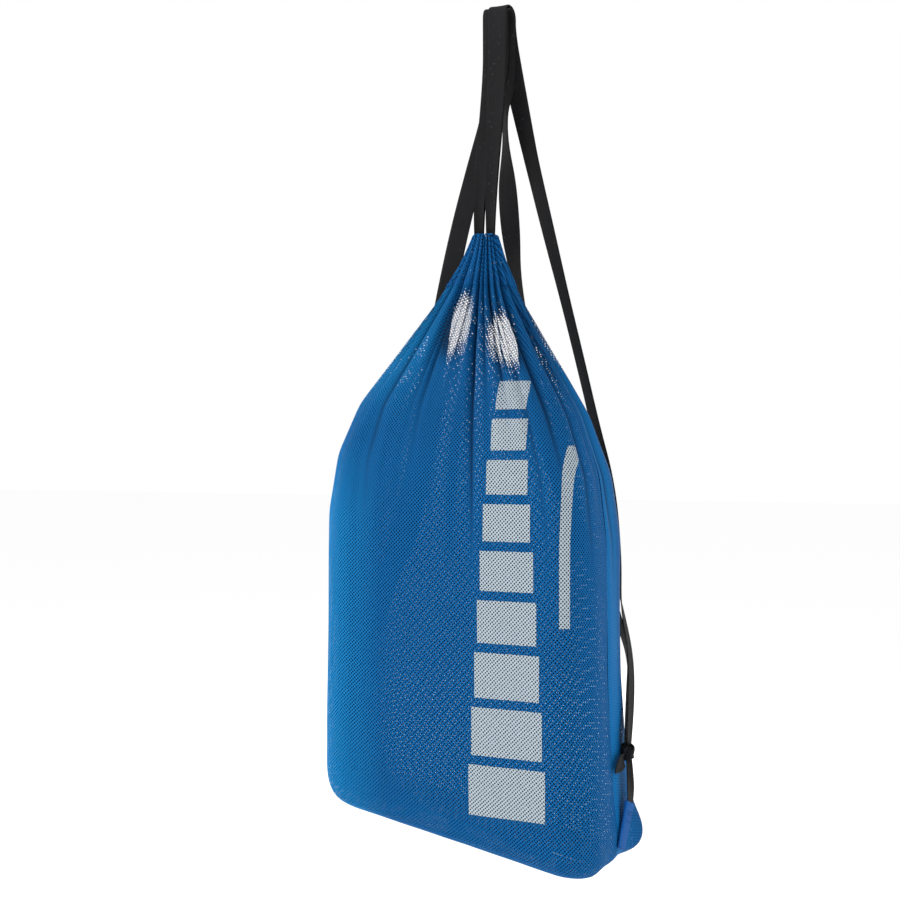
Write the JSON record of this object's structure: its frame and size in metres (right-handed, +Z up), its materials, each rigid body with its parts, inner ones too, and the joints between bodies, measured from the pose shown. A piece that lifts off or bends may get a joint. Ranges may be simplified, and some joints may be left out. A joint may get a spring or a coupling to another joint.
{
  "type": "drawstring mesh kit bag",
  "caption": "Drawstring mesh bag with a gathered tape channel, side seams and corner tabs, hung over a peg by two looped flat drawcord tapes.",
  "frame": {"origin": "centre of the peg that the drawcord loops hang over", "axes": "+Z up, -Y the bag's printed front, +X the bag's right as seen from the front"},
  "size_m": [0.3166, 0.1686, 0.8486],
  "materials": {
    "mesh_fabric": "open blue polyester mesh",
    "channel_mesh": "doubled blue polyester mesh",
    "seam_tape": "overlocked doubled mesh edge",
    "tab_fabric": "folded blue mesh",
    "thread": "blue polyester thread",
    "black_tape": "matt black woven tape",
    "print_ink": "white screen print on mesh"
  },
  "bodies": {
    "hang_loops": {"left_hang_loop": "black_tape", "right_hang_loop": "black_tape"},
    "bag": {"back_channel": "channel_mesh", "back_hem_stitching": "thread", "back_panel": "mesh_fabric", "front_channel": "channel_mesh", "front_hem_stitching": "thread", "front_panel": "mesh_fabric", "left_channel_ring": "black_tape", "left_cord_end": "black_tape", "left_corner_tab": "tab_fabric", "left_inner_back_run": "black_tape", "left_inner_mouth_run": "black_tape", "left_knot": "black_tape", "left_outer_back_run": "black_tape", "left_outer_mouth_run": "black_tape", "left_side_seam": "seam_tape", "left_tab_stitching": "thread", "printed_bars": "print_ink", "right_channel_ring": "black_tape", "right_cord_end": "black_tape", "right_corner_tab": "tab_fabric", "right_inner_back_run": "black_tape", "right_inner_mouth_run": "black_tape", "right_knot": "black_tape", "right_outer_back_run": "black_tape", "right_outer_mouth_run": "black_tape", "right_side_seam": "seam_tape", "right_tab_stitching": "thread"},
    "left_tail": {"left_cord_tail": "black_tape"},
    "right_tail": {"right_cord_tail": "black_tape"}
  },
  "joints": [
    {"name": "bag_turn", "type": "hinge", "parent": "hang_loops", "child": "bag", "pos_m": [0, 0, -0.12], "axis": [0, 0, 1], "range_deg": [-35, 35]},
    {"name": "left_tail_swing", "type": "hinge", "parent": "bag", "child": "left_tail", "pos_m": [-0.1705, -0.0072, -0.701], "axis": [0, 0, 1], "range_deg": [-40, 18]},
    {"name": "right_tail_swing", "type": "hinge", "parent": "bag", "child": "right_tail", "pos_m": [0.1327, -0.0072, -0.737], "axis": [0, 0, 1], "range_deg": [-8, 40]}
  ]
}
